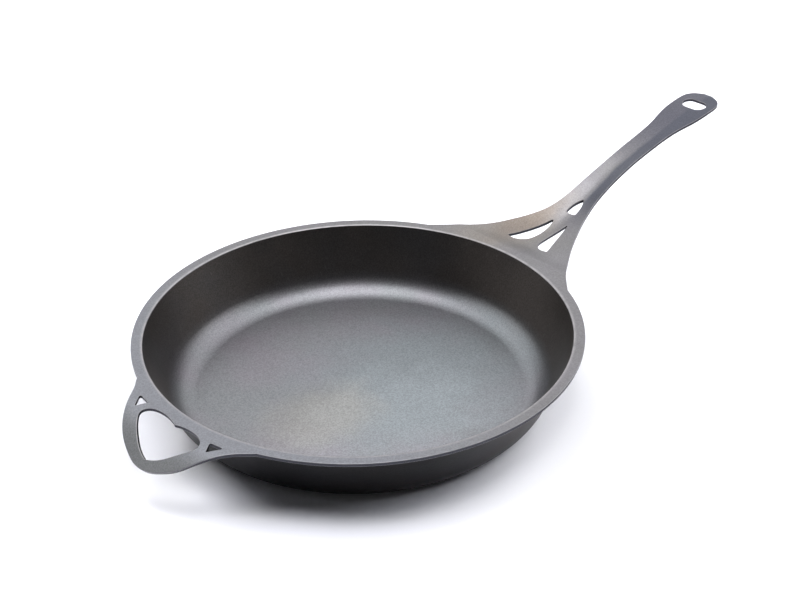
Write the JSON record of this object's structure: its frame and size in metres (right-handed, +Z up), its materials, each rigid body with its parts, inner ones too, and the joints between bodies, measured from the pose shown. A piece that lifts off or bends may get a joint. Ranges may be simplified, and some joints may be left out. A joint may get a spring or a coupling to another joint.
{
  "type": "skillet",
  "caption": "Round iron skillet in one plate: flat base, rounded corner, flared wall, flat rim, long vented handle with a hang hole, and a bent helper handle.",
  "frame": {"origin": "centre of the flat base's underside", "axes": "+Z up out of the bowl, +X along the long handle, the helper handle on -X"},
  "size_m": [0.5903, 0.316, 0.0977],
  "materials": {
    "bowl_iron": "fine matte blasted and seasoned",
    "rim_iron": "smooth satin seasoned, with heat tint by the long handle"
  },
  "bodies": {
    "root": {"pan_floor": "bowl_iron", "corner_bend": "bowl_iron", "side_wall": "bowl_iron", "rim_flange": "rim_iron", "handle_root": "rim_iron", "handle_shank": "rim_iron", "handle_end": "rim_iron", "helper_handle": "rim_iron"}
  },
  "joints": []
}
